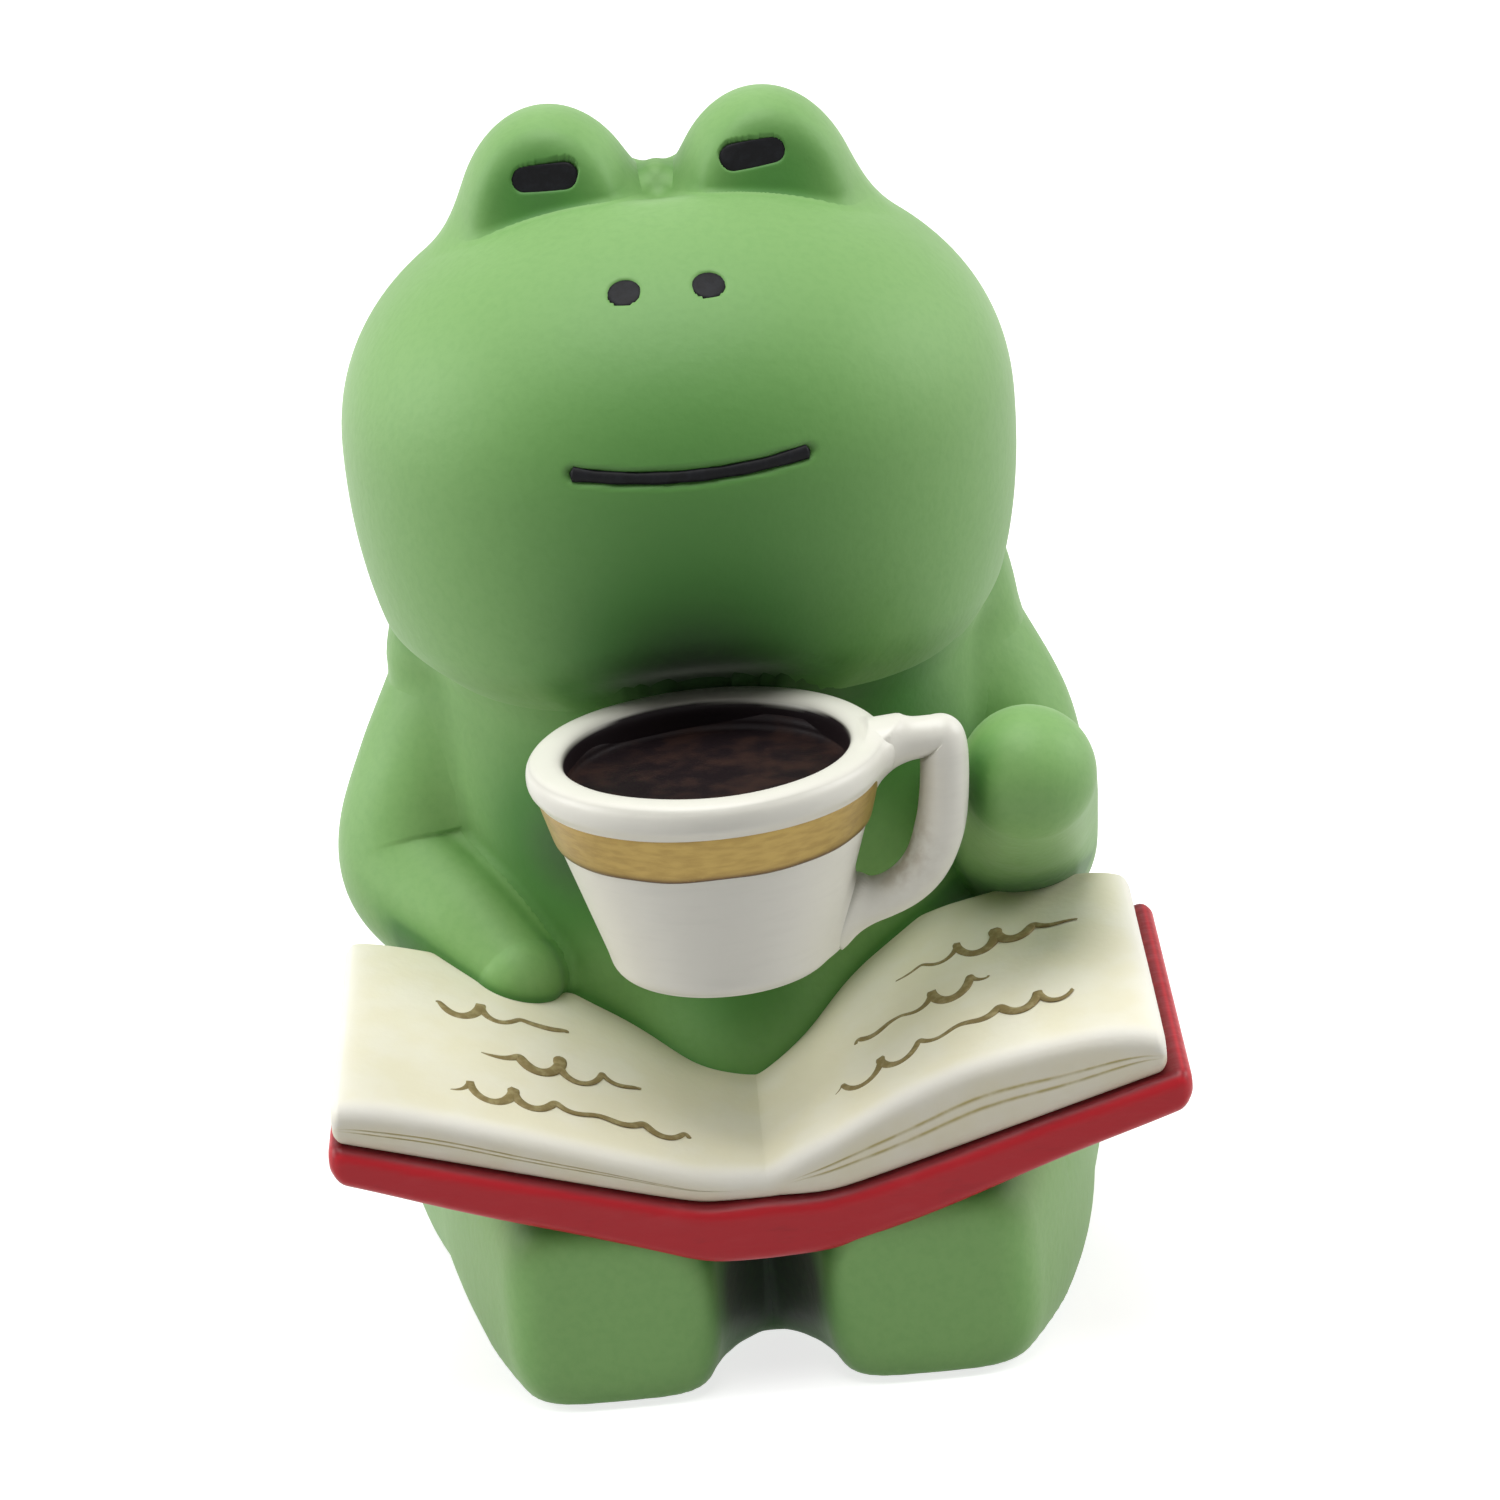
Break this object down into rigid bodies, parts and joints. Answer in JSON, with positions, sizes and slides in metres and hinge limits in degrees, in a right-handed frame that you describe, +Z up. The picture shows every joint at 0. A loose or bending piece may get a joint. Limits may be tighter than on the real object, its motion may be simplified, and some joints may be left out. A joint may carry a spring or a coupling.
{
  "type": "frog figurine",
  "caption": "Seated frog ornament in painted cast resin that holds a cup of coffee by its handle and rests an open book on its lap.",
  "frame": {"origin": "on the plane that the figurine stands on, under the middle of the torso", "axes": "+Z up, -Y the way the frog faces, +X the frog's own left, where the fist and the cup's handle are"},
  "size_m": [0.0331, 0.0355, 0.0467],
  "materials": {
    "green_paint": "matt green paint, sprayed darker in the recesses, on cast resin",
    "white_paint": "satin white paint on cast resin",
    "coffee_paint": "gloss dark brown paint",
    "bronze_paint": "brushed-on bronze gold paint",
    "red_paint": "satin red paint on cast resin",
    "cream_paint": "matt cream paint on cast resin, with brushed page lines",
    "black_enamel": "black enamel let into the face"
  },
  "bodies": {
    "root": {"torso": "green_paint", "head": "green_paint", "cup_arm": "green_paint", "book_arm": "green_paint", "left_leg": "green_paint", "right_leg": "green_paint", "cup": "white_paint", "coffee": "coffee_paint", "gold_band": "bronze_paint", "book_cover": "red_paint", "left_pages": "cream_paint", "right_pages": "cream_paint", "left_eye": "black_enamel", "right_eye": "black_enamel", "left_nostril": "black_enamel", "right_nostril": "black_enamel", "mouth": "black_enamel"}
  },
  "joints": []
}
